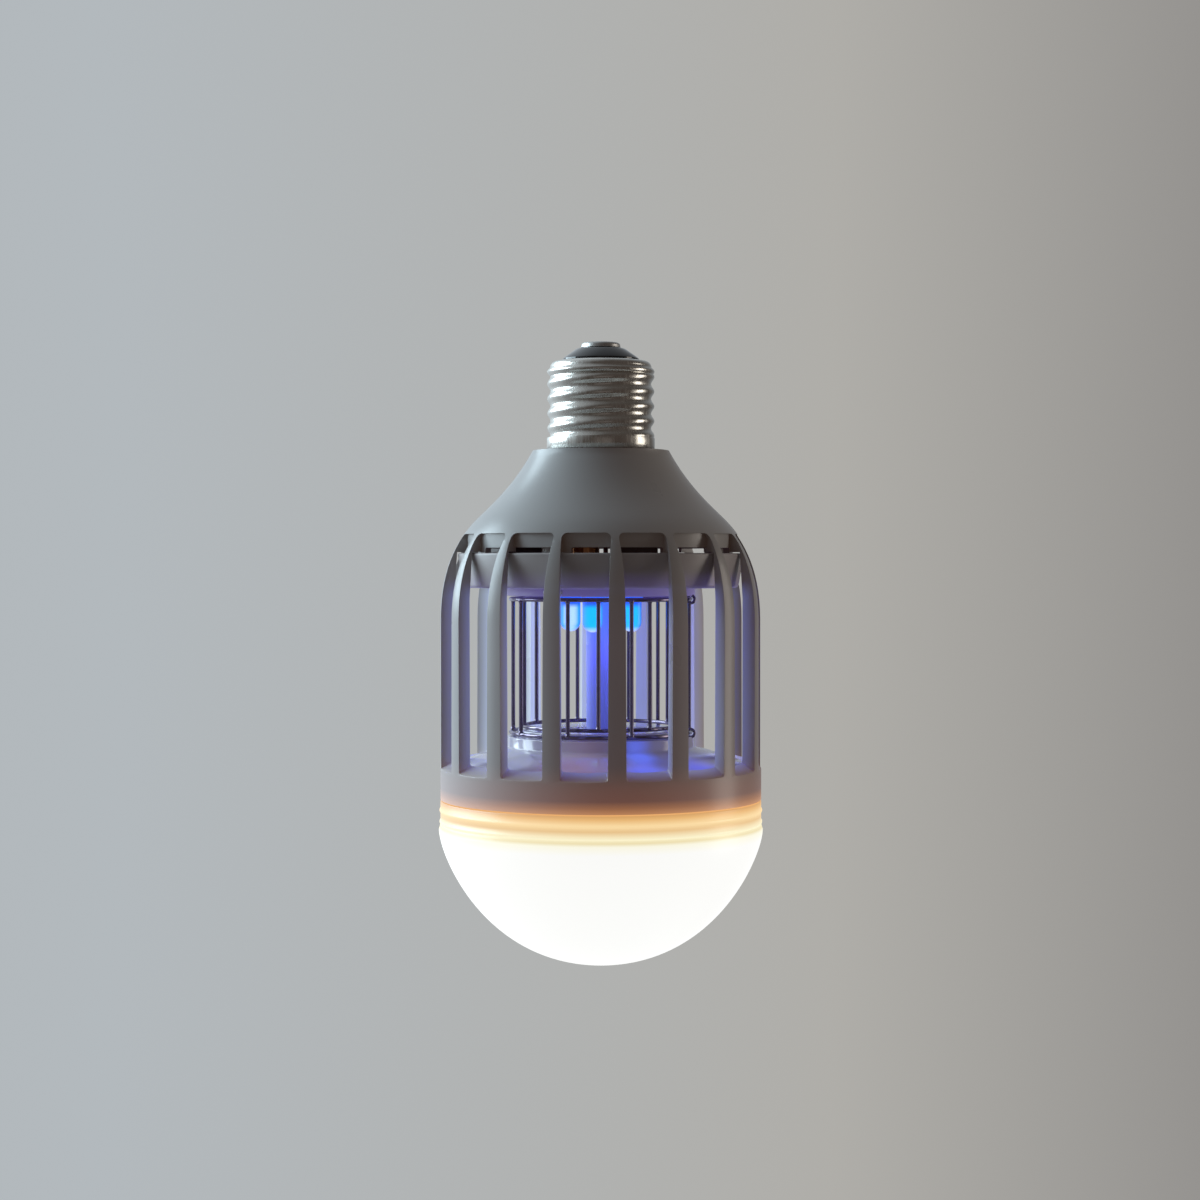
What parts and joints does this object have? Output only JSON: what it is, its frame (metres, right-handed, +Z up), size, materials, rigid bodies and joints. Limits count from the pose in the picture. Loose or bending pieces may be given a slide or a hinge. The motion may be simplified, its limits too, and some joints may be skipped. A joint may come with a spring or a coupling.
{
  "type": "insect killer light bulb",
  "caption": "Screw-in lamp bulb that kills insects: a ribbed cage round an electric grid and ultraviolet LEDs, above a white LED lamp with a frosted dome.",
  "frame": {"origin": "on the bulb's axis at the housing's flat shoulder, where the screw cap begins and the lamp holder stops", "axes": "+Z up along the axis, out through the screw cap's tip; a window of the cage is centred on +X and on +Y"},
  "size_m": [0.0798, 0.0798, 0.1532],
  "materials": {
    "housing_white": "satin moulded",
    "deck_white": "glossy moulded",
    "tube_white": "smooth",
    "frosted_white": "frosted, lit from inside",
    "cap_metal": "bright rolled",
    "solder": "dull",
    "black_insulator": "glassy",
    "grid_steel": "bright drawn wire",
    "uv_lens": "clear, lit",
    "screw_steel": "plated",
    "aluminium_plate": "stamped",
    "board_green": "lacquered",
    "board_white": "lacquered",
    "chip_phosphor": "resin",
    "coil_tape": "tape",
    "can_sleeve": "shrunk sleeve",
    "film_coating": "dipped",
    "resistor_coating": "dipped",
    "copper_winding": "enamelled wire",
    "lead_red": "insulation",
    "lead_black": "insulation"
  },
  "bodies": {
    "root": {"base_insulator": "black_insulator", "cage_housing": "housing_white", "centre_contact": "solder", "centre_tube": "tube_white", "choke": "copper_winding", "cup_screw_1": "screw_steel", "cup_screw_2": "screw_steel", "diffuser": "frosted_white", "driver_board": "board_green", "electrolytic_capacitor": "can_sleeve", "film_capacitor": "film_coating", "fuse_resistor": "resistor_coating", "inner_grid_lead": "lead_red", "inner_grid_ring_lower": "grid_steel", "inner_grid_ring_upper": "grid_steel", "inner_grid_rod_1": "grid_steel", "inner_grid_rod_2": "grid_steel", "inner_grid_rod_3": "grid_steel", "inner_grid_rod_4": "grid_steel", "inner_grid_rod_5": "grid_steel", "inner_grid_rod_6": "grid_steel", "inner_grid_rod_7": "grid_steel", "inner_grid_rod_8": "grid_steel", "inner_grid_rod_9": "grid_steel", "lamp_cup": "housing_white", "led_board": "board_white", "led_chip_1": "chip_phosphor", "led_chip_2": "chip_phosphor", "led_chip_3": "chip_phosphor", "led_chip_4": "chip_phosphor", "led_chip_5": "chip_phosphor", "led_chip_6": "chip_phosphor", "led_lead_minus": "lead_black", "led_lead_plus": "lead_red", "led_plate": "aluminium_plate", "live_lead": "lead_red", "lower_deck": "deck_white", "neutral_lead": "lead_black", "outer_grid_lead": "lead_red", "outer_grid_ring_lower": "grid_steel", "outer_grid_ring_upper": "grid_steel", "outer_grid_rod_1": "grid_steel", "outer_grid_rod_2": "grid_steel", "outer_grid_rod_3": "grid_steel", "outer_grid_rod_4": "grid_steel", "outer_grid_rod_5": "grid_steel", "outer_grid_rod_6": "grid_steel", "outer_grid_rod_7": "grid_steel", "outer_grid_rod_8": "grid_steel", "outer_grid_rod_9": "grid_steel", "plate_screw_1": "screw_steel", "plate_screw_2": "screw_steel", "screw_shell": "cap_metal", "transformer": "coil_tape", "uv_led_1": "uv_lens", "uv_led_2": "uv_lens", "uv_led_3": "uv_lens", "uv_led_4": "uv_lens", "uv_led_board": "board_green"}
  },
  "joints": []
}
